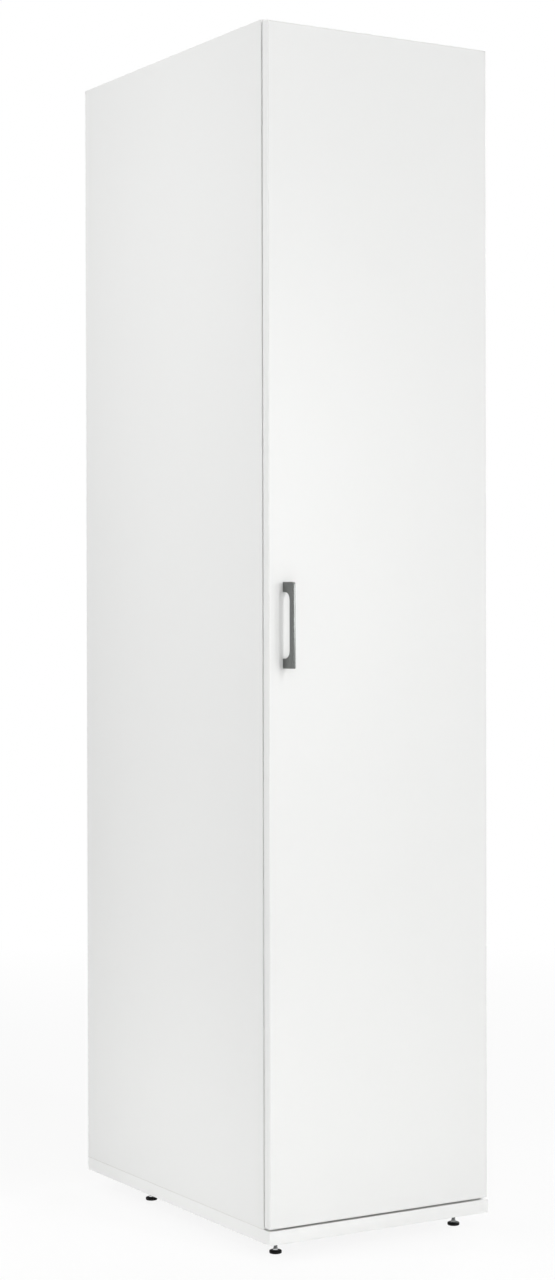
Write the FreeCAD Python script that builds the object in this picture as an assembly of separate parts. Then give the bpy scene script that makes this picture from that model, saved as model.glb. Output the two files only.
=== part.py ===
"""Tall broom cupboard in white-faced chipboard, with one full-height door on concealed hinges.

Frame: +X to the right, +Y to the back, +Z up, in millimetres. The origin lies on the floor, under the
middle of the box that the whole cupboard fills, handle included. The door hangs on the right.
"""

import os
import FreeCAD, Part

X_AXIS = FreeCAD.Vector(1, 0, 0)
Y_AXIS = FreeCAD.Vector(0, 1, 0)
Z_AXIS = FreeCAD.Vector(0, 0, 1)

# ---- Driving dimensions ---------------------------------------------------------------------------

# Overall
carcass_width = 400.0
closed_depth = 600.0            # from the door's face to the side panels' rear edges
overall_height = 1850.0
foot_height = 24.0              # from the floor to the underside of the base

# Boards
board_thickness = 16.0          # sides, top and shelves
base_thickness = 21.0
back_thickness = 3.0
band_thickness = 1.0            # plastic strip glued on the cut edges
arris_radius = 0.8              # rounding of the strips' outer edges

# Back panel's groove
groove_depth = 6.0
groove_inset = 12.0             # wood left behind the groove
groove_play = 0.2

# Door
door_thickness = 16.0
door_gap = 2.0                  # from the carcass's front edges to the door's back
door_left_reveal = 1.0
door_right_reveal = 2.0
door_bottom_gap = 3.0
door_top_reveal = 4.0

# Shelves
upper_space = 418.0             # from the fixed shelf's top to the top panel
fixed_shelf_setback = 2.0
loose_shelf_setback = 15.0
loose_shelf_back_gap = 5.0
loose_shelf_side_play = 1.0

# Shelf pins and their rows of holes
pin_radius = 2.5
pin_hole_depth = 10.0
pin_insert = 8.0
pin_tongue_length = 9.0
pin_tongue_width = 10.0
pin_tongue_thickness = 2.0
pin_row_above_shelf = 100.0     # from the fixed shelf's top to the lowest hole
pin_row_pitch = 32.0
pin_row_count = 8
pin_row_used = 3                # which hole of each row, counted from 0, holds a pin
pin_row_inset = 60.0            # from the front edge, and from the back panel

# Concealed hinges: each turns on one pin, which lies inside the cup
hinge_count = 4
hinge_end_distance = 100.0      # from the door's ends to the outer hinges
pivot_from_door_edge = 6.1
pivot_from_door_back = 8.5
cup_radius = 17.5
cup_depth = 11.5
cup_edge_distance = 3.0         # wood between the cup and the door's edge
cup_pocket_play = 0.1
cup_wall = 0.6
cup_flange_thickness = 0.8
cup_flange_overlap = 0.5
cup_wing_width = 10.0
cup_wing_reach = 27.5
cup_screw_spread = 22.5         # up and down from the hinge's centre
cup_screw_offset = 9.5          # further from the door's edge than the cup's centre
cup_screw_radius = 1.75
cup_screw_length = 12.0
cup_screw_head_radius = 3.0
cup_screw_head_height = 0.7
hinge_pin_radius = 1.0
hinge_pin_play = 0.05
eye_radius = 1.85
neck_half_width = 3.8
neck_thickness = 2.5
neck_drop = 0.7                 # how far the neck passes below the pin's line
neck_bend_radius = 6.0
ear_thickness = 1.0
ear_play = 0.3
ear_margin = 1.2

# Hinge arm and mounting plate
arm_web_height = 11.0           # from the side panel to the arm's outer face
arm_sheet = 1.5
arm_half_width = 8.1
arm_cheek_clearance = 4.0       # from the side panel to the cheeks' edges
arm_length = 60.0               # behind the carcass's front edges
arm_front_reach = 3.0           # in front of them
plate_screw_distance = 37.0     # from the front edge
plate_screw_spread = 16.0
plate_screw_radius = 2.5
plate_screw_length = 11.0
plate_screw_head_radius = 3.6
plate_screw_head_height = 1.2
plate_thickness = 2.0
plate_wing_width = 14.0
plate_wing_reach = 23.0
saddle_play = 0.2
saddle_length = 38.0
saddle_start = 16.0
arm_screw_radius = 2.0
arm_screw_head_radius = 3.4
arm_screw_head_height = 1.4
arm_screw_bite = 5.0
driver_slot_width = 0.9
driver_slot_depth = 0.6

# Handle
handle_length = 129.0
handle_projection = 28.0
handle_foot_thickness = 7.0
handle_front_thickness = 4.0
handle_leg_height = 15.0
handle_grip_depth = 10.0
handle_slot_radius = 12.0
handle_top_radius = 4.0
handle_bottom_radius = 1.5
handle_arris = 0.5
handle_from_edge = 27.6         # the door's left edge to the handle's middle plane
handle_above_middle = 1.5       # from the door's middle height to the handle's
handle_screw_radius = 2.0
handle_screw_bite = 10.0
handle_screw_head_radius = 4.0
handle_screw_head_height = 2.4

# Door bumpers and magnetic catch
bumper_radius = 4.0
bumper_play = 0.3
bumper_end_distance = 60.0
catch_width = 46.0
catch_height = 14.0
catch_depth = 24.0
catch_side_gap = 24.0           # from the left side panel
catch_reach_play = 0.3          # between the pole plates and the strike
pole_thickness = 1.2
pole_proud = 1.0
pole_width = 34.0
pole_depth = 12.0
magnet_thickness = 5.0
catch_lug = 4.0
catch_screw_radius = 1.5
catch_screw_length = 12.0
catch_screw_head_radius = 2.8
catch_screw_head_height = 1.2
catch_screw_margin = 1.0        # plastic outside the screws' heads
strike_width = 40.0
strike_height = 14.0
strike_thickness = 1.2

# Cam fittings and dowels
cam_radius = 7.5
cam_depth = 12.5
cam_distance = 24.0             # from the panel's end to the cam's centre
cam_slot_width = 1.4
cam_slot_depth = 1.5
cam_bolt_radius = 3.5
cam_bolt_thread_radius = 2.5
cam_bolt_thread_length = 11.0
joint_front_inset = 50.0        # cam fittings, from the front edge and the back panel
dowel_spacing = 32.0            # from a cam fitting to its dowel
dowel_radius = 4.0
dowel_in_side = 10.0
dowel_in_panel = 20.0

# Screws through the base
base_screw_radius = 3.5
base_screw_head_radius = 5.0
base_screw_head_height = 2.5
base_screw_thread_radius = 2.5
base_screw_length = 50.0
base_screw_inset = 40.0
base_screw_count = 3

# Levelling feet
foot_side_inset = 36.0
foot_front_inset = 43.0         # from the door's face
foot_rear_inset = 160.0         # from the side panels' rear edges
foot_travel = 8.0
pad_radius = 9.5
pad_height = 5.0
pad_lower_rounding = 1.5
pad_upper_rounding = 1.0
stem_radius = 3.0
stem_play = 0.05
stem_foot_depth = 2.5           # how deep the stem sits in the pad
stem_end_play = 0.5
hex_across_flats = 8.0
hex_height = 3.5
insert_radius = 5.0
insert_flange_radius = 8.0
insert_flange_thickness = 1.2
cap_radius = 7.5
cap_thickness = 1.2
cap_plug = 1.5

# Bracket that ties the cupboard to a wall
bracket_width = 30.0
bracket_leg = 34.0
bracket_thickness = 2.0
bracket_hole_radius = 3.25
bracket_hole_drop = 20.0        # below the top panel
bracket_screw_radius = 1.75
bracket_screw_length = 12.0
bracket_screw_head_radius = 3.4
bracket_screw_head_height = 1.5

# ---- Planes that follow from them -----------------------------------------------------------------

right = carcass_width / 2
left = -right
handle_front = -(closed_depth + handle_projection) / 2
door_face = handle_front + handle_projection
rear = door_face + closed_depth
door_back = door_face + door_thickness
carcass_front = door_back + door_gap
inner_right = right - board_thickness
inner_left = -inner_right

base_bottom = foot_height
base_top = base_bottom + base_thickness
top_underside = overall_height - board_thickness
back_rear = rear - groove_inset
back_front = back_rear - back_thickness

door_left = left + door_left_reveal
door_right = right - door_right_reveal
door_bottom = base_top + door_bottom_gap
door_top = overall_height - door_top_reveal

fixed_shelf_top = top_underside - upper_space
fixed_shelf_bottom = fixed_shelf_top - board_thickness
lowest_pin = fixed_shelf_top + pin_row_above_shelf
used_pin = lowest_pin + pin_row_used * pin_row_pitch
loose_shelf_bottom = used_pin + pin_radius
board_front = carcass_front + band_thickness

pivot_x = door_right - pivot_from_door_edge
pivot_y = door_back - pivot_from_door_back
cup_x = door_right - cup_edge_distance - cup_radius

foot_places = {
    "front_left": (left + foot_side_inset, door_face + foot_front_inset),
    "front_right": (right - foot_side_inset, door_face + foot_front_inset),
    "rear_left": (left + foot_side_inset, rear - foot_rear_inset),
    "rear_right": (right - foot_side_inset, rear - foot_rear_inset),
}


# ---- Small helpers --------------------------------------------------------------------------------

def block(x0, x1, y0, y1, z0, z1):
    """A box between two planes along each axis."""
    return Part.makeBox(x1 - x0, y1 - y0, z1 - z0, FreeCAD.Vector(x0, y0, z0))


def rod(x, y, z, axis, radius, length):
    """A cylinder that starts at (x, y, z) and runs along axis."""
    return Part.makeCylinder(radius, length, FreeCAD.Vector(x, y, z), axis)


def moved(shape, x=0.0, y=0.0, z=0.0):
    copy = shape.copy()
    copy.translate(FreeCAD.Vector(x, y, z))
    return copy


def drilled(shape, cutters):
    for cutter in cutters:
        shape = shape.cut(cutter)
    return shape


def prism(points, z0, z1):
    """A solid between two heights over a flat outline, given as (x, y) points."""
    corners = [FreeCAD.Vector(x, y, z0) for x, y in points]
    face = Part.Face(Part.makePolygon(corners + [corners[0]]))
    return face.extrude(FreeCAD.Vector(0, 0, z1 - z0))


def save(node, solids):
    """Write one sub-part, made of one or more separate solids."""
    shape = solids[0] if len(solids) == 1 else Part.makeCompound(solids)
    shape.exportStep(f"parts/{node}.step")


# ---- Places that several pieces share -------------------------------------------------------------

def spread(first, last, count):
    return [first + (last - first) * i / (count - 1) for i in range(count)]


cam_lines = [carcass_front + joint_front_inset, back_front - joint_front_inset]
dowel_lines = [cam_lines[0] + dowel_spacing, cam_lines[1] - dowel_spacing]
base_screw_lines = spread(carcass_front + base_screw_inset, back_front - base_screw_inset, base_screw_count)
base_dowel_lines = [line + dowel_spacing for line in base_screw_lines[:-1]]
pin_lines = [carcass_front + pin_row_inset, back_front - pin_row_inset]
joint_heights = [fixed_shelf_bottom + board_thickness / 2, top_underside + board_thickness / 2]
side_middles = [left + board_thickness / 2, right - board_thickness / 2]
hinge_heights = spread(door_bottom + hinge_end_distance, door_top - hinge_end_distance, hinge_count)
pin_heights = [lowest_pin + i * pin_row_pitch for i in range(pin_row_count)]


# Each side is +1 on the right and -1 on the left; the direction from a side panel's inner face into
# the side panel is +X on the right and -X on the left.

def into_side(side, distance, y, z, radius):
    """A cylinder from a side panel's inner face into the panel."""
    return rod(side * inner_right, y, z, X_AXIS * side, radius, distance)


def out_of_side(side, distance, y, z, radius):
    """A cylinder from a side panel's inner face towards the middle of the cupboard."""
    return rod(side * inner_right, y, z, X_AXIS * -side, radius, distance)


def for_each_cam_joint(make):
    return [make(side, y, z) for z in joint_heights for y in cam_lines for side in (-1, 1)]


def for_each_side_dowel(make):
    return [make(side, y, z) for z in joint_heights for y in dowel_lines for side in (-1, 1)]


# ---- Fasteners and fittings of the carcass --------------------------------------------------------

def cam_bolt(side, y, z):
    """Steel pin screwed into the side panel, whose plain end is drawn in by the cam."""
    thread = into_side(side, cam_bolt_thread_length, y, z, cam_bolt_thread_radius)
    shaft = out_of_side(side, cam_distance, y, z, cam_bolt_radius)
    return thread.fuse(shaft)


def cam_lock(side, y, z):
    """Zinc drum in the underside of a horizontal board, with a slot for the screwdriver."""
    x = side * (inner_right - cam_distance)
    face = z - board_thickness / 2
    drum = rod(x, y, face, Z_AXIS, cam_radius, cam_depth)
    slot = block(x - cam_radius, x + cam_radius, y - cam_slot_width / 2, y + cam_slot_width / 2,
                 face, face + cam_slot_depth)
    return drum.cut(slot).cut(out_of_side(side, cam_distance, y, z, cam_bolt_radius))


def cam_pocket(side, y, z):
    x = side * (inner_right - cam_distance)
    return rod(x, y, z - board_thickness / 2, Z_AXIS, cam_radius, cam_depth)


def side_dowel(side, y, z):
    return into_side(side, dowel_in_side, y, z, dowel_radius).fuse(
        out_of_side(side, dowel_in_panel, y, z, dowel_radius))


def base_screw(x, y):
    """Countersunk-flush screw from under the base into a side panel's lower edge."""
    head = rod(x, y, base_bottom, Z_AXIS, base_screw_head_radius, base_screw_head_height)
    shank = rod(x, y, base_bottom, Z_AXIS, base_screw_radius, base_thickness)
    thread = rod(x, y, base_bottom, Z_AXIS, base_screw_thread_radius, base_screw_length)
    return head.fuse(shank).fuse(thread)


def base_dowel(x, y):
    return rod(x, y, base_top - dowel_in_side, Z_AXIS, dowel_radius, dowel_in_side + dowel_in_panel)


def pin_hole(side, y, z):
    return into_side(side, pin_hole_depth, y, z, pin_radius)


def shelf_pin(side, y, z):
    """Peg in a side panel with a flat tongue that the shelf rests on."""
    peg = into_side(side, pin_insert, y, z, pin_radius)
    tip = side * (inner_right - pin_tongue_length)
    root = side * inner_right
    tongue = block(min(tip, root), max(tip, root), y - pin_tongue_width / 2, y + pin_tongue_width / 2,
                   z + pin_radius - pin_tongue_thickness, z + pin_radius)
    return peg.fuse(tongue)


def back_groove(x0, x1, z0, z1):
    """The room that the back panel's edges take in the other boards."""
    return block(x0, x1, back_front - groove_play / 2, back_rear + groove_play / 2, z0, z1)


base_screws = [base_screw(x, y) for x in side_middles for y in base_screw_lines]
base_dowels = [base_dowel(x, y) for x in side_middles for y in base_dowel_lines]
side_dowels = for_each_side_dowel(side_dowel)
cam_bolts = for_each_cam_joint(cam_bolt)
cam_locks = for_each_cam_joint(cam_lock)
shelf_pins = [shelf_pin(side, y, used_pin) for side in (-1, 1) for y in pin_lines]
groove = back_groove(inner_left - groove_depth, inner_right + groove_depth,
                     base_top - groove_depth, top_underside + groove_depth)


# ---- Levelling feet -------------------------------------------------------------------------------

def foot_pad(x, y):
    """Round moulded pad with softened rims and a socket for the stem."""
    pad = rod(x, y, 0, Z_AXIS, pad_radius, pad_height)
    for rounding, height in ((pad_lower_rounding, 0), (pad_upper_rounding, pad_height)):
        rim = [e for e in pad.Edges if len(e.Vertexes) == 1 and abs(e.BoundBox.Center.z - height) < 0.01]
        pad = pad.makeFillet(rounding, rim)
    return pad.cut(rod(x, y, pad_height - stem_foot_depth, Z_AXIS, stem_radius, stem_foot_depth))


def foot_stem(x, y):
    """Zinc-plated threaded rod with a hexagon to turn it by."""
    across_corners = hex_across_flats / 3 ** 0.5
    corners = [FreeCAD.Vector(across_corners, 0, pad_height)]
    for step in range(1, 6):
        turn = FreeCAD.Rotation(Z_AXIS, 60 * step)
        corners.append(turn.multVec(corners[0]))
    face = Part.Face(Part.makePolygon(corners + [corners[0]]))
    hexagon = moved(face.extrude(Z_AXIS * hex_height), x, y)
    foot = pad_height - stem_foot_depth
    stem_top = base_top - cap_plug - foot_travel - stem_end_play
    return rod(x, y, foot, Z_AXIS, stem_radius, stem_top - foot).fuse(hexagon)


def foot_insert(x, y):
    """Flanged steel sleeve pressed into the base from below, threaded for the stem."""
    flange_bottom = base_bottom - insert_flange_thickness
    sleeve = rod(x, y, base_bottom, Z_AXIS, insert_radius, base_thickness - cap_plug)
    flange = rod(x, y, flange_bottom, Z_AXIS, insert_flange_radius, insert_flange_thickness)
    bore = rod(x, y, flange_bottom, Z_AXIS, stem_radius + stem_play, base_thickness)
    return sleeve.fuse(flange).cut(bore)


def foot_cap(x, y):
    """White cap over the hole in the cupboard's floor, through which the foot is adjusted."""
    plug = rod(x, y, base_top - cap_plug, Z_AXIS, insert_radius, cap_plug)
    return plug.fuse(rod(x, y, base_top, Z_AXIS, cap_radius, cap_thickness))


# ---- Carcass boards -------------------------------------------------------------------------------

def base_panel():
    """Thick board under the whole cupboard, front edge in line with the door's face."""
    board = block(left + band_thickness, right - band_thickness, door_face + band_thickness, rear,
                  base_bottom, base_top)
    foot_holes = [rod(x, y, base_bottom, Z_AXIS, insert_radius, base_thickness)
                  for x, y in foot_places.values()]
    return drilled(board, foot_holes + base_screws + base_dowels + [groove])


def rounded_strip(strip, is_outer):
    """Round the long edges of a strip's outer face, which is_outer picks by their middles."""
    length = max(strip.BoundBox.XLength, strip.BoundBox.YLength, strip.BoundBox.ZLength)
    long_edges = [e for e in strip.Edges if abs(e.Length - length) < 1e-6 and is_outer(e.BoundBox.Center)]
    return strip.makeFillet(arris_radius, long_edges)


def edge_strip(x0, x1, front, z0, z1):
    """Plastic strip on a board's front edge."""
    strip = block(x0, x1, front, front + band_thickness, z0, z1)
    return rounded_strip(strip, lambda middle: middle.y < front + 1e-6)


def base_bands():
    """Strips on the base's front and side edges; the front one covers the ends of the others."""
    strips = [edge_strip(left, right, door_face, base_bottom, base_top)]
    for x in (left, right - band_thickness):
        strip = block(x, x + band_thickness, door_face + band_thickness, rear, base_bottom, base_top)
        strips.append(rounded_strip(strip, lambda middle: abs(middle.x) > right - 1e-6))
    return strips


def side_panel(side):
    x0 = min(side * right, side * inner_right)
    board = block(x0, x0 + board_thickness, board_front, rear, base_top, overall_height)
    cutters = [groove] + base_screws + base_dowels + side_dowels + cam_bolts
    cutters += [pin_hole(side, y, z) for y in pin_lines for z in pin_heights]
    if side > 0:
        cutters += [screw for z in hinge_heights for screw in plate_screws(z)]
    return drilled(board, cutters)


def side_bands():
    return [edge_strip(x, x + board_thickness, carcass_front, base_top, overall_height)
            for x in (left, inner_right)]


def top_panel():
    board = block(inner_left, inner_right, board_front, rear, top_underside, overall_height)
    cutters = [groove] + side_dowels + cam_bolts + for_each_cam_joint(cam_pocket) + bracket_screws()
    return drilled(board, cutters)


def fixed_shelf():
    board = block(inner_left, inner_right, board_front + fixed_shelf_setback, back_front,
                  fixed_shelf_bottom, fixed_shelf_top)
    cutters = side_dowels + cam_bolts + for_each_cam_joint(cam_pocket) + catch_screws()
    return drilled(board, cutters)


def loose_shelf():
    return block(inner_left + loose_shelf_side_play, inner_right - loose_shelf_side_play,
                 board_front + loose_shelf_setback, back_front - loose_shelf_back_gap,
                 loose_shelf_bottom, loose_shelf_bottom + board_thickness)


def shelf_bands():
    """Front edge strips of the top panel and the two shelves."""
    top = edge_strip(inner_left, inner_right, carcass_front, top_underside, overall_height)
    fixed = edge_strip(inner_left, inner_right, carcass_front + fixed_shelf_setback,
                       fixed_shelf_bottom, fixed_shelf_top)
    loose = edge_strip(inner_left + loose_shelf_side_play, inner_right - loose_shelf_side_play,
                       carcass_front + loose_shelf_setback,
                       loose_shelf_bottom, loose_shelf_bottom + board_thickness)
    return [top, fixed, loose]


def back_panel():
    """Thin hardboard sheet held in grooves all round."""
    reach = groove_depth - groove_play
    sheet = block(inner_left - reach, inner_right + reach, back_front, back_rear,
                  base_top - groove_depth, top_underside + reach)
    return sheet.cut(bracket_hole())


# ---- Wall bracket ---------------------------------------------------------------------------------

def bracket_hole():
    length = bracket_thickness + back_thickness
    return rod(0, back_rear - length, top_underside - bracket_hole_drop, Y_AXIS, bracket_hole_radius, length)


def wall_bracket():
    """Steel angle under the top panel, against the back panel, with a hole for the wall screw."""
    half = bracket_width / 2
    under_top = block(-half, half, back_front - bracket_leg, back_front,
                      top_underside - bracket_thickness, top_underside)
    down_back = block(-half, half, back_front - bracket_thickness, back_front,
                      top_underside - bracket_leg, top_underside)
    return drilled(under_top.fuse(down_back), bracket_screws() + [bracket_hole()])


def bracket_screws():
    y = back_front - bracket_leg / 2 - bracket_thickness
    face = top_underside - bracket_thickness
    screws = []
    for x in (-bracket_width / 4, bracket_width / 4):
        head = rod(x, y, face - bracket_screw_head_height, Z_AXIS, bracket_screw_head_radius,
                   bracket_screw_head_height)
        screws.append(head.fuse(rod(x, y, face, Z_AXIS, bracket_screw_radius, bracket_screw_length)))
    return screws


# ---- Concealed hinges -----------------------------------------------------------------------------
# Each hinge is drawn in place at the height of its own centre.

def plate_screws(z):
    """Screws that hold a mounting plate on the right side panel."""
    screws = []
    for dz in (-plate_screw_spread, plate_screw_spread):
        x = inner_right - plate_thickness
        y = carcass_front + plate_screw_distance
        thread = rod(x, y, z + dz, X_AXIS, plate_screw_radius, plate_thickness + plate_screw_length)
        head = rod(x, y, z + dz, X_AXIS * -1, plate_screw_head_radius, plate_screw_head_height)
        screws.append(thread.fuse(head))
    return screws


def arm_screws(z):
    """The arm's fixing and adjusting screws, from its web into the plate's saddle."""
    web_face = inner_right - arm_web_height
    saddle_end = carcass_front + saddle_start + saddle_length
    lines = [carcass_front + saddle_start + arm_screw_head_radius + arm_sheet,
             saddle_end - arm_screw_head_radius - arm_sheet]
    screws = []
    for y in lines:
        shank = rod(web_face, y, z, X_AXIS, arm_screw_radius, arm_sheet + arm_screw_bite)
        head = rod(web_face, y, z, X_AXIS * -1, arm_screw_head_radius, arm_screw_head_height)
        slot = block(web_face - arm_screw_head_height, web_face - arm_screw_head_height + driver_slot_depth,
                     y - arm_screw_head_radius, y + arm_screw_head_radius,
                     z - driver_slot_width / 2, z + driver_slot_width / 2)
        screws.append(shank.fuse(head).cut(slot))
    return screws


def hinge_plate(z):
    """Cast plate on the side panel: two wings for its screws and a saddle for the arm."""
    face = inner_right
    centre = carcass_front + plate_screw_distance
    wings = block(face - plate_thickness, face, centre - plate_wing_width / 2, centre + plate_wing_width / 2,
                  z - plate_wing_reach, z + plate_wing_reach)
    half = arm_half_width - arm_sheet - saddle_play
    saddle = block(face - arm_web_height + arm_sheet, face, carcass_front + saddle_start,
                   carcass_front + saddle_start + saddle_length, z - half, z + half)
    return drilled(wings.fuse(saddle), plate_screws(z) + arm_screws(z))


def neck_outline():
    """Flat outline of the strip from the arm's web, round a bend, to the pin's eye."""
    half = neck_thickness / 2
    line_x = inner_right - arm_web_height + arm_sheet / 2
    bend_x = line_x + neck_bend_radius
    low_y = pivot_y - neck_drop
    bend_y = low_y + neck_bend_radius
    start_y = carcass_front
    outer = neck_bend_radius + half
    inner = neck_bend_radius - half
    diagonal = 0.5 ** 0.5

    def point(x, y):
        return FreeCAD.Vector(x, y, 0)

    edges = [
        Part.LineSegment(point(line_x - half, start_y), point(line_x - half, bend_y)),
        Part.Arc(point(line_x - half, bend_y),
                 point(bend_x - outer * diagonal, bend_y - outer * diagonal),
                 point(bend_x, low_y - half)),
        Part.LineSegment(point(bend_x, low_y - half), point(pivot_x, pivot_y - half)),
        Part.LineSegment(point(pivot_x, pivot_y - half), point(pivot_x, pivot_y + half)),
        Part.LineSegment(point(pivot_x, pivot_y + half), point(bend_x, low_y + half)),
        Part.Arc(point(bend_x, low_y + half),
                 point(bend_x - inner * diagonal, bend_y - inner * diagonal),
                 point(line_x + half, bend_y)),
        Part.LineSegment(point(line_x + half, bend_y), point(line_x + half, start_y)),
        Part.LineSegment(point(line_x + half, start_y), point(line_x - half, start_y)),
    ]
    return Part.Face(Part.Wire([edge.toShape() for edge in edges]))


def hinge_arm(z):
    """Pressed channel over the plate's saddle, ending in a neck that reaches into the cup."""
    web_face = inner_right - arm_web_height
    front = carcass_front - arm_front_reach
    back = carcass_front + arm_length
    channel = block(web_face, inner_right - arm_cheek_clearance, front, back,
                    z - arm_half_width, z + arm_half_width)
    half = arm_half_width - arm_sheet
    hollow = block(web_face + arm_sheet, inner_right, front, back, z - half, z + half)
    neck = neck_outline().extrude(Z_AXIS * (2 * neck_half_width))
    neck = moved(neck, z=z - neck_half_width)
    eye = rod(pivot_x, pivot_y, z - neck_half_width, Z_AXIS, eye_radius, 2 * neck_half_width)
    bore = rod(pivot_x, pivot_y, z - neck_half_width, Z_AXIS, hinge_pin_radius + hinge_pin_play,
               2 * neck_half_width)
    arm = channel.cut(hollow).fuse(neck).fuse(eye).cut(bore)
    return drilled(arm, arm_screws(z)).removeSplitter()


def ear_reach():
    return neck_half_width + ear_play


def hinge_pin(z):
    half = ear_reach() + ear_thickness
    return rod(pivot_x, pivot_y, z - half, Z_AXIS, hinge_pin_radius, 2 * half)


def cup_pocket(z):
    return rod(cup_x, door_back, z, Y_AXIS * -1, cup_radius + cup_pocket_play, cup_depth + cup_pocket_play)


def cup_screws(z):
    """Short screws through the cup's wings into the door."""
    screws = []
    for dz in (-cup_screw_spread, cup_screw_spread):
        face = door_back + cup_flange_thickness
        x = cup_x - cup_screw_offset
        thread = rod(x, face, z + dz, Y_AXIS * -1, cup_screw_radius, cup_screw_length)
        head = rod(x, face, z + dz, Y_AXIS, cup_screw_head_radius, cup_screw_head_height)
        slot = block(x - cup_screw_head_radius, x + cup_screw_head_radius,
                     face + cup_screw_head_height - driver_slot_depth, face + cup_screw_head_height,
                     z + dz - driver_slot_width / 2, z + dz + driver_slot_width / 2)
        screws.append(thread.fuse(head).cut(slot))
    return screws


def hinge_cup(z):
    """Pressed steel cup in the door, with two ears that hold the pin."""
    inner_radius = cup_radius - cup_wall
    floor = door_back - cup_depth
    shell = rod(cup_x, floor, z, Y_AXIS, cup_radius, cup_depth + cup_flange_thickness)
    rim = rod(cup_x, door_back, z, Y_AXIS, cup_radius + cup_flange_overlap, cup_flange_thickness)
    wing_x = cup_x - cup_screw_offset
    wings = block(wing_x - cup_wing_width / 2, wing_x + cup_wing_width / 2,
                  door_back, door_back + cup_flange_thickness, z - cup_wing_reach, z + cup_wing_reach)
    ends = [e for e in wings.Edges if abs(e.BoundBox.YLength - cup_flange_thickness) < 1e-6]
    wings = wings.makeFillet(cup_wing_width / 2.5, ends)
    hollow = rod(cup_x, floor + cup_wall, z, Y_AXIS, inner_radius, cup_depth + cup_flange_thickness)
    cup = shell.fuse(rim).fuse(wings).cut(hollow)
    bowl = rod(cup_x, floor, z, Y_AXIS, cup_radius, cup_depth)
    for side in (-1, 1):
        near = z + side * ear_reach()
        far = near + side * ear_thickness
        ear = block(pivot_x - hinge_pin_radius - ear_margin, door_right, floor,
                    pivot_y + hinge_pin_radius + ear_margin, min(near, far), max(near, far))
        cup = cup.fuse(ear.common(bowl))
    return drilled(cup, [hinge_pin(z)] + cup_screws(z)).removeSplitter()


# ---- Door -----------------------------------------------------------------------------------------

def whole_door():
    """The door with its rounded edge strips, before it is split into board and strips."""
    door = block(door_left, door_right, door_face, door_back, door_bottom, door_top)
    faces = (door_face, door_back)
    long_edges = [e for e in door.Edges
                  if e.BoundBox.YLength < 1e-6 and min(abs(e.BoundBox.YMin - y) for y in faces) < 1e-6]
    return door.makeFillet(arris_radius, long_edges)


def door_core_box():
    return block(door_left + band_thickness, door_right - band_thickness, door_face, door_back,
                 door_bottom + band_thickness, door_top - band_thickness)


def door_panel():
    cutters = [cup_pocket(z) for z in hinge_heights]
    cutters += [screw for z in hinge_heights for screw in cup_screws(z)]
    cutters += handle_screws() + [strike_screw()]
    return drilled(whole_door().common(door_core_box()), cutters)


def door_bands():
    """Plastic strips round the door's four edges; the upright ones run the full height."""
    door = whole_door()
    upright = [block(x, x + band_thickness, door_face, door_back, door_bottom, door_top)
               for x in (door_left, door_right - band_thickness)]
    level = [block(door_left + band_thickness, door_right - band_thickness, door_face, door_back,
                   z, z + band_thickness) for z in (door_bottom, door_top - band_thickness)]
    return [door.common(strip) for strip in upright + level]


def door_bumpers():
    """Soft dots on the door's back that meet the left side panel's front edge."""
    x = left + board_thickness / 2
    heights = (door_bottom + bumper_end_distance, door_top - bumper_end_distance)
    return [rod(x, door_back, z, Y_AXIS, bumper_radius, door_gap - bumper_play) for z in heights]


# ---- Handle ---------------------------------------------------------------------------------------

handle_x = door_left + handle_from_edge
handle_bottom = (door_bottom + door_top) / 2 + handle_above_middle - handle_length / 2
handle_top = handle_bottom + handle_length


def handle_side_outline():
    """The handle seen from the side: a bow with a round-ended slot open towards the door."""
    slot_bottom = handle_bottom + handle_leg_height
    slot_top = handle_top - handle_leg_height
    grip_back = handle_front + handle_grip_depth
    bend = handle_slot_radius
    diagonal = 0.5 ** 0.5

    def point(y, z):
        return FreeCAD.Vector(handle_x, y, z)

    def corner(y, z, radius, towards_y, towards_z):
        """Arc of a rounded corner whose sharp corner would be at (y, z)."""
        middle_y = y + towards_y * radius * (1 - diagonal)
        middle_z = z + towards_z * radius * (1 - diagonal)
        return (point(y, z + towards_z * radius), point(middle_y, middle_z), point(y + towards_y * radius, z))

    low_front = corner(handle_front, handle_bottom, handle_bottom_radius, 1, 1)
    high_front = corner(handle_front, handle_top, handle_top_radius, 1, -1)
    high_slot = corner(grip_back, slot_top, bend, 1, -1)
    low_slot = corner(grip_back, slot_bottom, bend, 1, 1)
    edges = [
        Part.LineSegment(point(door_face, handle_bottom), low_front[2]),
        Part.Arc(*reversed(low_front)),
        Part.LineSegment(low_front[0], high_front[0]),
        Part.Arc(*high_front),
        Part.LineSegment(high_front[2], point(door_face, handle_top)),
        Part.LineSegment(point(door_face, handle_top), point(door_face, slot_top)),
        Part.LineSegment(point(door_face, slot_top), high_slot[2]),
        Part.Arc(*reversed(high_slot)),
        Part.LineSegment(high_slot[0], low_slot[0]),
        Part.Arc(*low_slot),
        Part.LineSegment(low_slot[2], point(door_face, slot_bottom)),
        Part.LineSegment(point(door_face, slot_bottom), point(door_face, handle_bottom)),
    ]
    return Part.Face(Part.Wire([edge.toShape() for edge in edges]))


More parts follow.
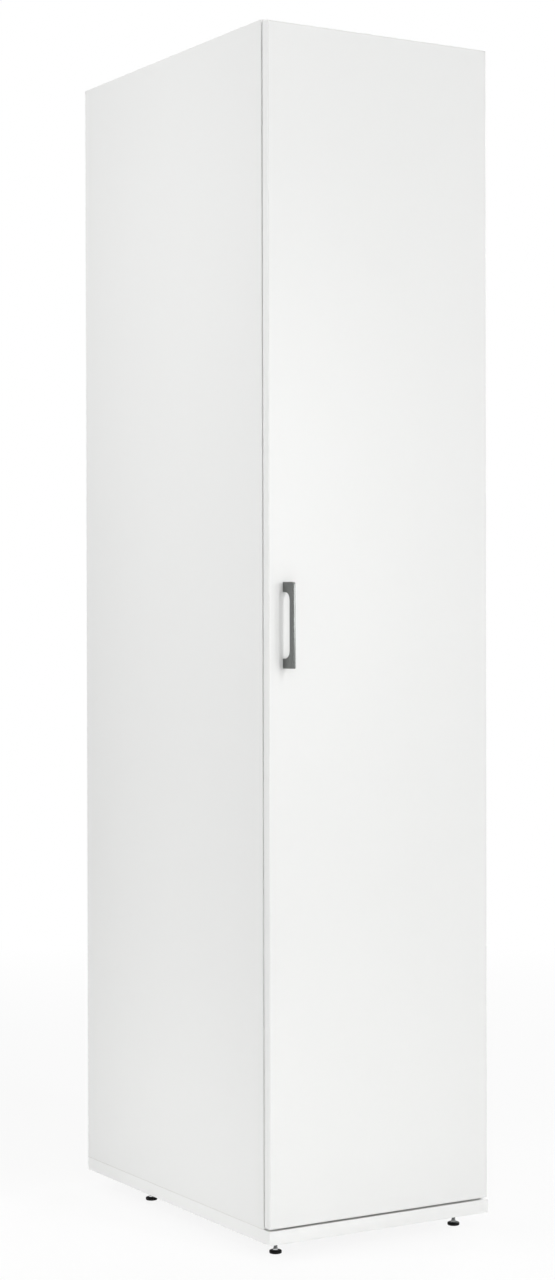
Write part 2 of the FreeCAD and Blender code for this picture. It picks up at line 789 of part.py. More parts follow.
def handle():
    """Slim metal bow, thicker at the door than at its front edge."""
    half_foot = handle_foot_thickness / 2
    half_front = handle_front_thickness / 2
    bow = handle_side_outline().extrude(X_AXIS * handle_foot_thickness)
    bow = moved(bow, x=-half_foot)
    wedge = prism([(handle_x - half_foot, door_face), (handle_x + half_foot, door_face),
                   (handle_x + half_front, handle_front), (handle_x - half_front, handle_front)],
                  handle_bottom, handle_top)
    body = bow.common(wedge).removeSplitter()
    grip_edges = [e for e in body.Edges
                  if e.BoundBox.YMax < door_face - handle_arris and e.BoundBox.XLength < half_foot
                  and abs(e.BoundBox.Center.x - handle_x) > half_front / 2]
    body = body.makeFillet(handle_arris, grip_edges)
    return drilled(body, handle_screws())


def handle_screws():
    """Machine screws from inside the door into the handle's two feet."""
    screws = []
    for z in (handle_bottom + handle_leg_height / 2, handle_top - handle_leg_height / 2):
        length = door_thickness + handle_screw_bite
        shank = rod(handle_x, door_back, z, Y_AXIS * -1, handle_screw_radius, length)
        head = rod(handle_x, door_back, z, Y_AXIS, handle_screw_head_radius, handle_screw_head_height)
        rim = [e for e in head.Edges if len(e.Vertexes) == 1
               and e.BoundBox.YMin > door_back + handle_screw_head_height / 2]
        head = head.makeFillet(handle_screw_head_height / 3, rim)
        slot = block(handle_x - handle_screw_head_radius, handle_x + handle_screw_head_radius,
                     door_back + handle_screw_head_height - driver_slot_depth,
                     door_back + handle_screw_head_height,
                     z - driver_slot_width / 2, z + driver_slot_width / 2)
        screws.append(shank.fuse(head).cut(slot))
    return screws


# ---- Magnetic catch under the fixed shelf ---------------------------------------------------------

catch_x = inner_left + catch_side_gap + catch_width / 2
catch_z = fixed_shelf_bottom - catch_height / 2
strike_face = door_back + strike_thickness
pole_front = strike_face + catch_reach_play
catch_front = pole_front + pole_proud
magnet_back = catch_front + pole_depth


def pole_plates():
    """Two steel plates that carry the magnet's pull to the strike."""
    plates = []
    for side in (-1, 1):
        near = catch_z + side * magnet_thickness / 2
        far = near + side * pole_thickness
        plates.append(block(catch_x - pole_width / 2, catch_x + pole_width / 2, pole_front, magnet_back,
                            min(near, far), max(near, far)))
    return plates


def catch_magnet():
    return block(catch_x - pole_width / 2, catch_x + pole_width / 2, catch_front, magnet_back,
                 catch_z - magnet_thickness / 2, catch_z + magnet_thickness / 2)


def catch_screws():
    lug_z = fixed_shelf_bottom - catch_lug
    y = magnet_back + (catch_front + catch_depth - magnet_back) / 2
    screws = []
    for side in (-1, 1):
        x = catch_x + side * (catch_width / 2 - catch_screw_head_radius - catch_screw_margin)
        head = rod(x, y, lug_z - catch_screw_head_height, Z_AXIS, catch_screw_head_radius,
                   catch_screw_head_height)
        screws.append(head.fuse(rod(x, y, lug_z, Z_AXIS, catch_screw_radius, catch_screw_length)))
    return screws


def catch_housing():
    """White moulded case: a block round the magnet and a thinner lug that takes the screws."""
    x0 = catch_x - catch_width / 2
    x1 = catch_x + catch_width / 2
    lug = block(x0, x1, magnet_back, catch_front + catch_depth, fixed_shelf_bottom - catch_lug,
                fixed_shelf_bottom)
    nose = block(x0, x1, catch_front, magnet_back + pole_thickness, fixed_shelf_bottom - catch_height,
                 fixed_shelf_bottom)
    return drilled(nose.fuse(lug), pole_plates() + [catch_magnet()] + catch_screws()).removeSplitter()


def strike_plate():
    plate = block(catch_x - strike_width / 2, catch_x + strike_width / 2, door_back, strike_face,
                  catch_z - strike_height / 2, catch_z + strike_height / 2)
    corners = [e for e in plate.Edges if abs(e.BoundBox.YLength - strike_thickness) < 1e-6]
    return plate.makeFillet(strike_height / 7, corners).cut(strike_screw())


def strike_screw():
    """Countersunk screw, flush with the strike plate's face."""
    head = Part.makeCone(catch_screw_radius, catch_screw_head_radius, strike_thickness,
                         FreeCAD.Vector(catch_x, door_back, catch_z), Y_AXIS)
    shank = rod(catch_x, door_back, catch_z, Y_AXIS * -1, catch_screw_radius, catch_screw_length)
    return shank.fuse(head)


# ---- Write every sub-part -------------------------------------------------------------------------

os.makedirs("parts", exist_ok=True)

save("base_panel", [base_panel()])
save("base_edge_bands", base_bands())
save("left_side_panel", [side_panel(-1)])
save("right_side_panel", [side_panel(1)])
save("side_edge_bands", side_bands())
save("top_panel", [top_panel()])
save("fixed_shelf", [fixed_shelf()])
save("adjustable_shelf", [loose_shelf()])
save("shelf_edge_bands", shelf_bands())
save("back_panel", [back_panel()])

save("base_screws", base_screws)
save("dowels", side_dowels + base_dowels)
save("cam_bolts", cam_bolts)
save("cam_locks", cam_locks)
save("shelf_pins", shelf_pins)
save("wall_bracket", [wall_bracket()])
save("wall_bracket_screws", bracket_screws())

save("leveller_inserts", [foot_insert(x, y) for x, y in foot_places.values()])
save("leveller_caps", [foot_cap(x, y) for x, y in foot_places.values()])
for place, (foot_x, foot_y) in foot_places.items():
    save(f"leveller_stem_{place}", [foot_stem(foot_x, foot_y)])
    save(f"leveller_pad_{place}", [foot_pad(foot_x, foot_y)])

save("hinge_plates", [hinge_plate(z) for z in hinge_heights])
save("hinge_plate_screws", [screw for z in hinge_heights for screw in plate_screws(z)])
save("hinge_arms", [hinge_arm(z) for z in hinge_heights])
save("hinge_arm_screws", [screw for z in hinge_heights for screw in arm_screws(z)])
save("hinge_cups", [hinge_cup(z) for z in hinge_heights])
save("hinge_pins", [hinge_pin(z) for z in hinge_heights])
save("hinge_cup_screws", [screw for z in hinge_heights for screw in cup_screws(z)])

save("catch_housing", [catch_housing()])
save("catch_magnet", [catch_magnet()])
save("catch_pole_plates", pole_plates())
save("catch_screws", catch_screws())
save("strike_plate", [strike_plate()])
save("strike_screw", [strike_screw()])

save("door_panel", [door_panel()])
save("door_edge_bands", door_bands())
save("door_bumpers", door_bumpers())
save("handle", [handle()])
save("handle_screws", handle_screws())
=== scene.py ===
"""Dresses a tall broom cupboard: finishes for its boards, strips and fittings, turned and threaded small
parts, and the room that it stands in. Lengths are in metres; +X is to the right, +Y to the back."""

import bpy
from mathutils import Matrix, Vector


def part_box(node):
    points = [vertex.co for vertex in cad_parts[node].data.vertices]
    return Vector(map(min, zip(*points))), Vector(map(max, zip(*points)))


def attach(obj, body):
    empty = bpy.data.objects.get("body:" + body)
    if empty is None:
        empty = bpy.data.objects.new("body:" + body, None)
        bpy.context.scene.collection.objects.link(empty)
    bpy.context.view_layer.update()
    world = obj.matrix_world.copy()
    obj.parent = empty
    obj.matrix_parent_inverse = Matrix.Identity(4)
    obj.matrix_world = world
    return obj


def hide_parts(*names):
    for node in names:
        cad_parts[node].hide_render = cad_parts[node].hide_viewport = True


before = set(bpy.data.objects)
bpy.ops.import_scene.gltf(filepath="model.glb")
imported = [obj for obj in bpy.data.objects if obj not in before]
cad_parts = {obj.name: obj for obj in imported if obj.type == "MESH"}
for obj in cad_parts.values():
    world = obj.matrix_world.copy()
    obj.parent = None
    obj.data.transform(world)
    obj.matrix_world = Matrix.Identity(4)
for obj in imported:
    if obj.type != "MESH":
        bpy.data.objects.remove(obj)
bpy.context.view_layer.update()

import math

import bmesh
import bpy
from mathutils import Vector


# ---- Boards ---------------------------------------------------------------------------------------
# Chipboard faced on both sides with white melamine, a hard film with a fine pearl texture. Where it is
# sawn or drilled and no strip covers it, the raw chips show.

X, Y, Z = 0, 1, 2


class Nodes:
    """A tree of shader nodes, with short ways to add the kinds that the finishes and the room share."""

    mix_sockets = {"RGBA": (6, 7, 2), "FLOAT": (2, 3, 0)}       # the two ends, and the result

    def __init__(self, tree):
        self.tree = tree

    def node(self, kind, **options):
        made = self.tree.nodes.new(kind)
        for option, value in options.items():
            setattr(made, option, value)
        return made

    def link(self, source, target):
        """Feed an input from another node, or set it to a plain value or colour."""
        if isinstance(source, bpy.types.NodeSocket):
            self.tree.links.new(source, target)
        elif target.type == "RGBA":
            target.default_value = (*source, 1.0)
        else:
            target.default_value = source

    def maths(self, operation, first, second=0.0):
        made = self.node("ShaderNodeMath", operation=operation)
        self.link(first, made.inputs[0])
        self.link(second, made.inputs[1])
        return made.outputs[0]

    def spread(self, value, low, high, start=0.0, end=1.0, curve="LINEAR"):
        """Carry the stretch start to end over to low to high, and hold it there outside."""
        made = self.node("ShaderNodeMapRange", interpolation_type=curve)
        self.link(value, made.inputs["Value"])
        self.link(start, made.inputs["From Min"])
        self.link(end, made.inputs["From Max"])
        self.link(low, made.inputs["To Min"])
        self.link(high, made.inputs["To Max"])
        return made.outputs["Result"]

    def mix(self, share, first, second, kind="RGBA"):
        """Go from the first colour to the second by a share."""
        first_end, second_end, result = self.mix_sockets[kind]
        made = self.node("ShaderNodeMix", data_type=kind)
        self.link(share, made.inputs[0])
        self.link(first, made.inputs[first_end])
        self.link(second, made.inputs[second_end])
        return made.outputs[result]

    def mix_value(self, share, first, second):
        """The same for plain values."""
        return self.mix(share, first, second, "FLOAT")


class Finish(Nodes):
    """A material in the making. Its textures are counted in bumps per metre."""

    def __init__(self, name, colour, roughness, metal=0.0):
        self.material = bpy.data.materials.new(name)
        self.material.use_nodes = True
        super().__init__(self.material.node_tree)
        self.shader = self.tree.nodes["Principled BSDF"]
        self.link(colour, self.shader.inputs["Base Color"])
        self.link(roughness, self.shader.inputs["Roughness"])
        self.link(metal, self.shader.inputs["Metallic"])
        places = self.node("ShaderNodeTexCoord")
        self.at = places.outputs["Object"]
        self.normal = places.outputs["Normal"]

    def axis(self, vector, index):
        """One part of a place or of a direction."""
        made = self.node("ShaderNodeSeparateXYZ")
        self.link(vector, made.inputs[0])
        return made.outputs[index]

    def noise(self, scale, detail=2.0, stretch=None):
        """Soft random values about 0.5; stretch draws them out along an axis where it is below 1."""
        made = self.node("ShaderNodeTexNoise")
        self.link(scale, made.inputs["Scale"])
        self.link(detail, made.inputs["Detail"])
        place = self.at
        if stretch:
            mapping = self.node("ShaderNodeMapping")
            self.link(stretch, mapping.inputs["Scale"])
            self.link(self.at, mapping.inputs["Vector"])
            place = mapping.outputs["Vector"]
        self.link(place, made.inputs["Vector"])
        return made.outputs["Fac"]

    def chips(self, scale):
        """Random cells: each cell's own value, and the distance from its middle."""
        made = self.node("ShaderNodeTexVoronoi")
        self.link(scale, made.inputs["Scale"])
        self.link(self.at, made.inputs["Vector"])
        value = self.node("ShaderNodeSeparateColor")
        self.link(made.outputs["Color"], value.inputs[0])
        return value.outputs[0], made.outputs["Distance"]

    def colour(self, source):
        self.link(source, self.shader.inputs["Base Color"])

    def roughness(self, source):
        self.link(source, self.shader.inputs["Roughness"])

    def sheen(self, scale, smoothest, roughest, detail=3.0):
        """A roughness that drifts between two values in soft patches."""
        patches = self.noise(scale, detail)
        self.roughness(self.spread(patches, smoothest, roughest, start=0.3, end=0.7))

    def bump(self, height, depth, rounding=0.0):
        """Relief of a given depth, on edges that are broken by a small rounding."""
        made = self.node("ShaderNodeBump")
        self.link(depth, made.inputs["Distance"])
        self.link(height, made.inputs["Height"])
        if rounding:
            edge = self.node("ShaderNodeBevel", samples=4)
            self.link(rounding, edge.inputs["Radius"])
            self.link(edge.outputs["Normal"], made.inputs["Normal"])
        self.link(made.outputs["Normal"], self.shader.inputs["Normal"])

    def grain(self, scale, depth, rounding=0.0, detail=2.0):
        """A fine relief, the same all over."""
        self.bump(self.noise(scale, detail), depth, rounding)


def dress(finish, *nodes):
    """Give one finish to solids of the frame."""
    for node in nodes:
        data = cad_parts[node].data
        data.materials.clear()
        data.materials.append(finish.material)


def halfway(low, high, axis):
    return (low[axis] + high[axis]) / 2


white = (0.835, 0.836, 0.825)
black = (0.0, 0.0, 0.0)
cloud_floor = 0.985             # the faint clouds take the white down to this share of it
cloud_scale = 2.2
pearl_grain = 1100.0
pearl_depth = 0.00001
pearl_roughness = 0.30
smear_scale = 5.0               # the sheen drifts a little from place to place
smear_drift = 0.02
edge_break = 0.0003
film_thickness = 0.0002
glue_line = 0.00012
chip_and_shade_line = 0.0003               # a dark line along a sawn foot that stands on another board: partly chipped film, partly painted shade of the joint
line_grey = (0.42, 0.40, 0.36)
squarely = 0.5                  # how straight a surface has to face an axis to be its face

flake_scale = 520.0
dark_flake = (0.36, 0.22, 0.11)
pale_flake = (0.66, 0.49, 0.31)
dust_scale = 1600.0
dust_tan = (0.55, 0.39, 0.23)
bark_scale = 700.0
bark_brown = (0.17, 0.09, 0.04)
chip_relief = 20.0              # as against the film's
chip_roughness = 0.9


def pearl_white(finish):
    """The film's colour, and the height of its texture."""
    broad = finish.spread(finish.noise(cloud_scale, detail=3.0), cloud_floor, 1.0)
    fine = finish.spread(finish.noise(pearl_grain, detail=1.0), cloud_floor, 1.0)
    shade = finish.maths("MULTIPLY", broad, fine)
    return finish.mix(shade, black, white), finish.noise(pearl_grain)


def raw_chips(finish):
    """Pressed wood chips in glue, tan with a few dark ones, and the height of their flakes."""
    flake, flake_edge = finish.chips(flake_scale)
    dust, _ = finish.chips(dust_scale)
    body = finish.mix(flake, dark_flake, pale_flake)
    body = finish.mix(finish.spread(dust, 0.0, 0.5, start=0.5, end=1.0), body, dust_tan)
    bark = finish.spread(finish.noise(bark_scale, detail=3.0), 0.0, 0.8, start=0.58, end=0.72)
    return finish.mix(bark, body, bark_brown), finish.maths("MULTIPLY", flake_edge, chip_relief)


def near(finish, value, wanted, within):
    """1 where a value lies within a small distance of the wanted one."""
    gap = finish.maths("ABSOLUTE", finish.maths("SUBTRACT", value, wanted))
    return finish.maths("LESS_THAN", gap, within)


def faced_board(node, across, strips, upright=False):
    """Finish one board. across is the axis of its thickness, and strips lists the edges that carry a
    plastic strip, as pairs of an axis and -1 or 1. An upright board's top end is papered white, and its
    sawn foot stands on another board, with a dark line there that is partly chipped film and partly
    painted shade of the joint."""
    low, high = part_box(node)
    finish = Finish(node + "_melamine", white, pearl_roughness)
    half = (high[across] - low[across]) / 2
    from_middle = finish.maths("SUBTRACT", finish.axis(finish.at, across), halfway(low, high, across))
    outermost = near(finish, finish.maths("ABSOLUTE", from_middle), half, film_thickness)
    facing = finish.maths("ABSOLUTE", finish.axis(finish.normal, across))
    film = finish.maths("MULTIPLY", outermost, finish.maths("GREATER_THAN", facing, squarely))
    if upright:
        at_top = near(finish, finish.axis(finish.at, Z), high.z, film_thickness)
        facing_up = finish.maths("GREATER_THAN", finish.axis(finish.normal, Z), squarely)
        film = finish.maths("MAXIMUM", film, finish.maths("MULTIPLY", at_top, facing_up))

    tone, grain = pearl_white(finish)
    lines = [(axis, side, glue_line) for axis, side in strips]
    # An upright's foot also gets a dark line, partly chipped film and partly painted shade of its joint
    # with the board below.
    if upright:
        lines.append((Z, -1, chip_and_shade_line))
    for axis, side, width in lines:
        end = high[axis] if side > 0 else low[axis]
        tone = finish.mix(near(finish, finish.axis(finish.at, axis), end, width), tone, line_grey)

    chips, chip_height = raw_chips(finish)
    finish.colour(finish.mix(film, chips, tone))
    sheen = finish.spread(finish.noise(smear_scale), pearl_roughness - smear_drift,
                          pearl_roughness + smear_drift)
    finish.roughness(finish.mix_value(film, chip_roughness, sheen))
    finish.bump(finish.mix_value(film, chip_height, grain), pearl_depth, edge_break)
    dress(finish, node)


faced_board("base_panel", Z, strips=[(X, -1), (X, 1), (Y, -1)])
for side in ("left", "right"):
    faced_board(f"{side}_side_panel", X, strips=[(Y, -1)], upright=True)
for board in ("top_panel", "fixed_shelf", "adjustable_shelf"):
    faced_board(board, Z, strips=[(Y, -1)])


# ---- Edge strips ----------------------------------------------------------------------------------
# White plastic strips of 1 mm, glued on the cut edges and rounded over along their outer corners. They
# are about as smooth as the boards' film, without its pearl texture.

base_white = (0.866, 0.867, 0.856)      # the base's strips are a touch whiter
strip_cloud = 3.0
strip_smear = 40.0
strip_roughness = 0.34
buffed_roughness = 0.28
strip_grain = 600.0
strip_depth = 0.000006


def edge_strip(name, colour):
    """Plain white plastic, waxed and buffed."""
    strip = Finish(name, colour, strip_roughness)
    shade = strip.spread(strip.noise(strip_cloud), cloud_floor, 1.0)
    strip.colour(strip.mix(shade, black, colour))
    strip.roughness(strip.spread(strip.noise(strip_smear), buffed_roughness, strip_roughness))
    strip.grain(strip_grain, strip_depth)
    return strip


dress(edge_strip("edge_strip", white), "side_edge_bands", "shelf_edge_bands", "door_edge_bands")
dress(edge_strip("base_strip", base_white), "base_edge_bands")


# ---- Back panel -----------------------------------------------------------------------------------
# Hardboard of 3 mm in grooves: lacquered white inside, raw and brown behind, where the mesh that it was
# pressed on has left its print.

mesh_pitch = 0.0016
fibre_scale = 700.0
fibre_relief = 1.5              # as against the print of the mesh
dark_fibre = (0.175, 0.098, 0.052)
pale_fibre = (0.27, 0.158, 0.086)
stain_brown = (0.185, 0.103, 0.054)
stain_scale = 5.0
raw_back_roughness = 0.75
lacquer_roughness = 0.42
lacquer_grain = 500.0
back_depth = 0.00006

back = Finish("hardboard", (0.30, 0.18, 0.10), roughness=0.7)


def wire_print(axis):
    """The waves that the mesh's wires leave along an axis."""
    return back.maths("SINE", back.maths("MULTIPLY", back.axis(back.at, axis), 2 * math.pi / mesh_pitch))


facing_in = back.maths("LESS_THAN", back.axis(back.normal, Y), -squarely)
fibre = back.noise(fibre_scale, detail=4.0, stretch=(1.0, 1.0, 0.5))
stain = back.spread(back.noise(stain_scale), 0.0, 0.3)
brown = back.mix(back.spread(fibre, 0.0, 1.0, start=0.25, end=0.75), dark_fibre, pale_fibre)
brown = back.mix(stain, brown, stain_brown)
back.colour(back.mix(facing_in, brown, white))
back.roughness(back.mix_value(facing_in, raw_back_roughness, lacquer_roughness))
weave = back.maths("MULTIPLY", wire_print(X), wire_print(Z))
rough_side = back.maths("ADD", weave, back.maths("MULTIPLY", fibre, fibre_relief))
back.bump(back.mix_value(facing_in, rough_side, back.noise(lacquer_grain)), back_depth)
dress(back, "back_panel")


# ---- Dowels and cam fittings ----------------------------------------------------------------------
# Beech pegs, zinc drums cast in a mould, and bright zinc-plated bolts and screws that draw the boards
# together.

pore_scale = 300.0
pore_depth = 0.00004
dark_beech = (0.50, 0.33, 0.18)
pale_beech = (0.72, 0.53, 0.34)

beech = Finish("beech", (0.62, 0.44, 0.27), roughness=0.6)
pores = beech.noise(pore_scale, detail=4.0, stretch=(0.15, 1.0, 1.0))
beech.colour(beech.mix(pores, dark_beech, pale_beech))
beech.bump(pores, pore_depth)
dress(beech, "dowels")

tarnish_scale = 100.0
handling_scale = 900.0
handling_buffs = 0.05           # how much smoother and rougher than usual the handling leaves it
handling_dulls = 0.07
plating_grain = 1800.0
plating_edge = 0.0002


def plated(name, colour, darker, roughness, grain_depth):
    """Bright plated metal with fine handling marks and a slightly uneven sheen."""
    metal = Finish(name, colour, roughness, metal=1.0)
    tarnish = metal.spread(metal.noise(tarnish_scale, detail=3.0), 0.0, 1.0, start=0.35, end=0.7)
    metal.colour(metal.mix(tarnish, colour, darker))
    metal.sheen(handling_scale, smoothest=roughness - handling_buffs, roughest=roughness + handling_dulls)
    metal.grain(plating_grain, grain_depth, plating_edge)
    return metal


zinc = plated("zinc_plating", (0.66, 0.67, 0.68), darker=(0.54, 0.55, 0.54), roughness=0.30,
              grain_depth=0.000005)
cast_zinc = plated("cast_zinc", (0.50, 0.51, 0.52), darker=(0.38, 0.39, 0.40), roughness=0.46,
                   grain_depth=0.000010)
dress(zinc, "cam_bolts")

up = (0.0, 0.0, 1.0)
down = (0.0, 0.0, -1.0)
solid_weld = 0.000001           # points closer than this are one
piece_weld = 0.0000001


def solids(node):
    """The boxes of a node's separate solids, each as its low and high corners."""
    shape = bmesh.new()
    shape.from_mesh(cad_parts[node].data)
    bmesh.ops.remove_doubles(shape, verts=shape.verts, dist=solid_weld)
    shape.verts.ensure_lookup_table()
    seen = set()
    boxes = []
    for first in shape.verts:
        if first.index in seen:
            continue
        seen.add(first.index)
        waiting = [first]
        corners = []
        while waiting:
            corner = waiting.pop()
            corners.append(corner.co.copy())
            for edge in corner.link_edges:
                other = edge.other_vert(corner)
                if other.index not in seen:
                    seen.add(other.index)
                    waiting.append(other)
        low = Vector([min(corner[axis] for corner in corners) for axis in (X, Y, Z)])
        high = Vector([max(corner[axis] for corner in corners) for axis in (X, Y, Z)])
        boxes.append((low, high))
    shape.free()
    return sorted(boxes, key=lambda box: tuple(round(value, 6) for value in box[0]))


def circle(radius, height, steps):
    """Points round the Z axis."""
    points = []
    for step in range(steps):
        angle = 2 * math.pi * step / steps
        points.append(Vector((radius * math.cos(angle), radius * math.sin(angle), height)))
    return points


def points_and_faces(shape):
    """What a mesh in the making holds, after which it is let go."""
    shape.verts.index_update()
    points = [corner.co.copy() for corner in shape.verts]
    faces = [tuple(corner.index for corner in face.verts) for face in shape.faces]
    shape.free()
    return points, faces


def recessed(profile, arm, half_width, depth, steps=32):
    """A turned head with a cross recess in its flat top, which is the profile's last ring. profile lists
    pairs of a radius and a height. The recess narrows to half its size at its floor."""
    shape = bmesh.new()
    rings = []
    for radius, height in profile:
        rings.append([shape.verts.new(point) for point in circle(radius, height, steps)])
    for lower, upper in zip(rings, rings[1:]):
        for step in range(steps):
            after = (step + 1) % steps
            shape.faces.new((lower[step], lower[after], upper[after], upper[step]))
    top = profile[-1][1]
    quarter = [(arm, -half_width), (arm, half_width), (half_width, half_width)]
    outline = []
    for turn in range(4):
        for x, y in quarter:
            for _ in range(turn):
                x, y = -y, x
            outline.append((x, y))
    mouth = [shape.verts.new((x, y, top)) for x, y in outline]
    floor_corners = [shape.verts.new((x / 2, y / 2, top - depth)) for x, y in outline]
    for step in range(len(outline)):
        after = (step + 1) % len(outline)
        shape.faces.new((mouth[step], mouth[after], floor_corners[after], floor_corners[step]))
    shape.faces.new(floor_corners)
    loops = []
    for loop in (rings[-1], mouth):
        for corner, after in zip(loop, loop[1:] + loop[:1]):
            loops.append(shape.edges.get((corner, after)) or shape.edges.new((corner, after)))
    bmesh.ops.triangle_fill(shape, edges=loops, use_beauty=True)
    return points_and_faces(shape)


def thread(bottom, top, radius, depth, pitch, tip=0.0, steps=24):
    """One helical ridge about the Z axis between two heights, drawn to a point over the tip's length."""
    root = radius - depth
    section = [(root, 0.0), (radius, 0.42), (radius, 0.58), (root, 1.0)]    # reach, share of the pitch
    turns = math.ceil((top - bottom) / pitch) + 1
    points = []
    for step in range(turns * steps + 1):
        angle = 2 * math.pi * step / steps
        start = bottom - pitch + pitch * step / steps
        for reach, share in section:
            height = min(max(start + share * pitch, bottom), top)
            if tip:
                reach *= min(1.0, (height - bottom) / tip)
            points.append(Vector((reach * math.cos(angle), reach * math.sin(angle), height)))
    faces = []
    count = len(section)
    for step in range(turns * steps):
        for row in range(count - 1):
            here = step * count + row
            faces.append((here, here + count, here + count + 1, here + 1))
    return points, faces


def joined(*shapes):
    """Several shapes as one."""
    points = []
    faces = []
    for shape_points, shape_faces in shapes:
        start = len(points)
        points += shape_points
        faces += [tuple(start + index for index in face) for face in shape_faces]
    return points, faces


def set_at(shape, place, outward=up):
    """Carry a shape drawn about the Z axis to a place, its top turned outward."""
    turn = Vector(up).rotation_difference(Vector(outward)).to_matrix()
    points, faces = shape
    return [Vector(place) + turn @ Vector(point) for point in points], faces


def mesh_piece(name, shape, body, finish, sharp=35.0):
    """A piece from its points and faces, on a body of the frame. Edges over the sharp angle, in degrees,
    stay crisp."""
    points, faces = shape
    data = bpy.data.meshes.new(name)
    data.from_pydata([tuple(point) for point in points], [], faces)
    clean = bmesh.new()
    clean.from_mesh(data)
    bmesh.ops.remove_doubles(clean, verts=clean.verts, dist=piece_weld)
    bmesh.ops.recalc_face_normals(clean, faces=clean.faces)
    clean.to_mesh(data)
    clean.free()
    data.shade_smooth()
    data.set_sharp_from_angle(angle=math.radians(sharp))
    data.materials.append(finish.material)
    piece = bpy.data.objects.new(name, data)
    bpy.context.scene.collection.objects.link(piece)
    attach(piece, body)
    return piece


screw_pitch = 0.0014
countersunk_head = [(1.0, 0.12), (1.0, 0.0)]       # shares of its radius, and of its height from the top
domed_head = [(1.0, 1.0), (1.0, 0.72), (0.95, 0.4), (0.82, 0.12), (0.68, 0.0)]


def cross_screw(box, outward, shank_radius, head_height, countersunk=False):
    """A screw with a cross recess that fills a box, its head at the outward end."""
    low, high = box
    outward = Vector(outward)
    along = max((X, Y, Z), key=lambda axis: abs(outward[axis]))
    length = high[along] - low[along]
    radius = (high[(along + 1) % 3] - low[(along + 1) % 3]) / 2
    profile = [(shank_radius, -head_height)]
    for reach, drop in countersunk_head if countersunk else domed_head:
        profile.append((reach * radius, -drop * head_height))
    head = recessed(profile, arm=0.48 * radius, half_width=0.13 * radius,
                    depth=min(0.7 * head_height, 0.5 * radius))
    shank = thread(-length, -head_height, shank_radius, depth=0.3 * shank_radius, pitch=screw_pitch,
                   tip=2 * shank_radius, steps=12)
    top = (low + high) / 2 + outward * length / 2
    return set_at(joined(head, shank), top, outward)


def cross_screws(node, body, outward, shank_radius, head_height, finish=zinc,
                 countersunk=False):
    """Finely made screws in the places of a node's plain ones."""
    shapes = [cross_screw(box, outward, shank_radius, head_height, countersunk) for box in solids(node)]
    piece = mesh_piece(node.replace("screw", "cross_screw"), joined(*shapes), body, finish)
    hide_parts(node)


cross_screws("base_screws", "carcass", down, shank_radius=0.0025, head_height=0.0025, countersunk=True)

drum_recess_arm = 0.0042
drum_recess_half_width = 0.0009
drum_recess_depth = 0.003
drum_edge = [(0.0, -0.0006), (0.0005, -0.0001), (0.0016, 0.0)]      # how far in, and how high
drums = []
for low, high in solids("cam_locks"):
    drum_radius = (high.x - low.x) / 2
    drum_depth = high.z - low.z
    drum_profile = [(0.0, -drum_depth), (drum_radius, -drum_depth)]
    drum_profile += [(drum_radius - inset, height) for inset, height in drum_edge]
    drum = recessed(drum_profile, drum_recess_arm, drum_recess_half_width, drum_recess_depth, steps=48)
    drums.append(set_at(drum, (halfway(low, high, X), halfway(low, high, Y), low.z), down))
cams = mesh_piece("cam_drums", joined(*drums), "carcass", cast_zinc)
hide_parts("cam_locks")


# ---- Shelf pins -----------------------------------------------------------------------------------
# Nickel-plated steel pegs of 5 mm in the rows of holes, each with a flat tongue that the shelf lies on.

def turned(profile, steps=48):
    """A shape turned about the Z axis; profile lists pairs of a radius and a height."""
    points = []
    for radius, height in profile:
        points += circle(radius, height, steps)
    faces = []
    for ring in range(len(profile) - 1):
        for step in range(steps):
            after = (step + 1) % steps
            faces.append((ring * steps + step, ring * steps + after,
                          (ring + 1) * steps + after, (ring + 1) * steps + step))
    return points, faces


def arc(centre, first_reach, second_reach, start, end, steps):
    """Points along an ellipse between two angles in degrees."""
    points = []
    for step in range(steps + 1):
        turn = math.radians(start + (end - start) * step / steps)
        points.append((centre[0] + first_reach * math.cos(turn),
                       centre[1] + second_reach * math.sin(turn)))
    return points


nickel = plated("nickel_plating", (0.70, 0.68, 0.64), darker=(0.62, 0.60, 0.56), roughness=0.22,
                grain_depth=0.000003)
pin_radius = 0.0025
pin_chamfer = 0.0006
tongue_thickness = 0.002
tongue_round = 0.003
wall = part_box("right_side_panel")[0].x
pins = []
for low, high in solids("shelf_pins"):
    side = 1 if low.x + high.x > 0 else -1
    tongue_end, peg_end = sorted((abs(low.x), abs(high.x)))
    pin_y = halfway(low, high, Y)
    half_tongue = (high.y - low.y) / 2
    peg_length = peg_end - wall
    peg = turned([(0.0, 0.0), (pin_radius, 0.0), (pin_radius, peg_length - pin_chamfer),
                  (pin_radius - pin_chamfer, peg_length), (0.0, peg_length)], steps=32)
    pins.append(set_at(peg, (side * wall, pin_y, high.z - pin_radius), (side, 0.0, 0.0)))

    bend = tongue_end + tongue_round
    shoulder = half_tongue - tongue_round
    outline = [(wall, -half_tongue)]
    outline += arc((bend, -shoulder), tongue_round, tongue_round, 270.0, 180.0, steps=6)
    outline += arc((bend, shoulder), tongue_round, tongue_round, 180.0, 90.0, steps=6)
    outline.append((wall, half_tongue))
    tongue_points = []
    for height in (high.z - tongue_thickness, high.z):
        tongue_points += [Vector((side * out, pin_y + along, height)) for out, along in outline]
    count = len(outline)
    tongue_faces = [tuple(range(count)), tuple(range(count, 2 * count))]
    for step in range(count):
        after = (step + 1) % count
        tongue_faces.append((step, after, count + after, count + step))
    pins.append((tongue_points, tongue_faces))
shelf_pegs = mesh_piece("shelf_pegs", joined(*pins), "carcass", nickel)
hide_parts("shelf_pins")


# ---- Levelling feet -------------------------------------------------------------------------------
# Each foot is a black moulded pad on a zinc-plated M6 stem with a hexagon. The stem turns in a steel
# sleeve pressed into the base, and a domed white cap inside the cupboard covers it.

